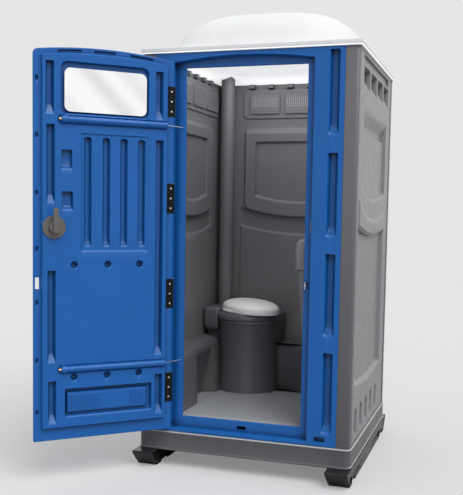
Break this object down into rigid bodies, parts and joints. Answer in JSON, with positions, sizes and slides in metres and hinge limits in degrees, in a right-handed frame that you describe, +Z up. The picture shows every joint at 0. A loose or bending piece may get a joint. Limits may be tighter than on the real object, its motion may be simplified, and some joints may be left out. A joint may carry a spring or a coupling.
{
  "type": "portable toilet cabin",
  "caption": "Portable toilet cabin on skids with a hinged door, domed roof, holding tank with seat and lid, vent pipe, urinal and occupancy lock.",
  "frame": {"origin": "on the ground, at the centre of the four anchor holes and of the cabin's footprint", "axes": "+X to the right seen from the door, +Y to the back, +Z up; the door is stored open at 136 degrees"},
  "size_m": [1.4428, 1.7215, 2.35],
  "materials": {
    "frame_blue": "satin, fine moulded grain",
    "wall_grey": "satin, fine moulded grain",
    "base_grey": "satin, fine moulded grain",
    "floor_grey": "matt",
    "tank_charcoal": "satin",
    "roof_white": "translucent, satin",
    "seat_white": "soft gloss",
    "skid_black": "rough",
    "hinge_black": "black powder coat",
    "bright_steel": "zinc plated",
    "screw_brass": "dull",
    "knob_grey": "satin",
    "disc_green": "gloss",
    "mirror_plate": "polished",
    "cord_steel": "twisted steel cord",
    "drain_black": "matt",
    "paper_white": "soft paper"
  },
  "bodies": {
    "cabin": {"base_tray": "base_grey", "bolt_keeper": "bright_steel", "closer_anchors": "hinge_black", "closer_cords": "cord_steel", "floor_panel": "floor_grey", "frame_hinge_leaf_1": "hinge_black", "frame_hinge_leaf_2": "hinge_black", "frame_hinge_leaf_3": "hinge_black", "frame_hinge_leaf_4": "hinge_black", "frame_hinge_screws": "bright_steel", "front_frame": "frame_blue", "front_left_post": "base_grey", "front_right_post": "base_grey", "hinge_pins": "bright_steel", "left_fairing": "floor_grey", "left_skid": "skid_black", "left_wall": "wall_grey", "left_wall_screens": "wall_grey", "padlock_staple": "bright_steel", "paper_holder": "wall_grey", "pipe_collar": "tank_charcoal", "rear_left_post": "base_grey", "rear_right_post": "base_grey", "rear_wall": "wall_grey", "rear_wall_screens": "wall_grey", "right_fairing": "floor_grey", "right_skid": "skid_black", "right_wall": "wall_grey", "right_wall_screens": "wall_grey", "riser_rim": "tank_charcoal", "roof": "roof_white", "roof_bolts": "bright_steel", "seat_brackets": "tank_charcoal", "seat_pins": "bright_steel", "toilet_seat": "seat_white", "urinal": "wall_grey", "urinal_drain_pipe": "drain_black", "vent_pipe": "wall_grey", "waste_tank": "tank_charcoal"},
    "door": {"door_outer_skin": "frame_blue", "door_inner_skin": "frame_blue", "door_mirror": "mirror_plate", "door_vent_grille": "frame_blue", "door_hinge_screws": "bright_steel", "lock_boss": "knob_grey", "indicator_housing": "frame_blue", "bolt_guide": "skid_black", "catch_slot_liner": "seat_white", "pull_handle": "frame_blue", "closer_screws": "screw_brass", "door_hinge_leaf_1": "hinge_black", "door_hinge_leaf_2": "hinge_black", "door_hinge_leaf_3": "hinge_black", "door_hinge_leaf_4": "hinge_black"},
    "lock": {"lock_spindle": "knob_grey", "lock_lever": "knob_grey", "occupancy_disc": "disc_green"},
    "bolt": {"latch_bolt": "bright_steel"},
    "lid": {"toilet_lid": "seat_white"},
    "roll": {"paper_roll": "paper_white"}
  },
  "joints": [
    {"name": "door_swing", "type": "hinge", "parent": "cabin", "child": "door", "pos_m": [-0.378, -0.571, 1.13], "axis": [0, 0, 1], "range_deg": [0, 136], "deforming": ["closer_cords"]},
    {"name": "lock_turn", "type": "hinge", "parent": "door", "child": "lock", "pos_m": [-0.78707, -1.03416, 1.235], "axis": [0.6947, -0.7193, 0], "range_deg": [0, 90]},
    {"name": "bolt_slide", "type": "slide", "parent": "door", "child": "bolt", "axis": [-0.7193, -0.6947, 0], "range_m": [0, 0.05656]},
    {"name": "lid_swing", "type": "hinge", "parent": "cabin", "child": "lid", "pos_m": [-0.216, 0.456, 0.736], "axis": [-1, 0, 0], "range_deg": [0, 90]},
    {"name": "roll_spin", "type": "hinge", "parent": "cabin", "child": "roll", "pos_m": [0.435, 0.06, 0.86], "axis": [0, 1, 0], "continuous": true}
  ],
  "couplings": [
    {"joint": "bolt_slide", "follows": "lock_turn", "m_per_rad": 0.036007}
  ]
}
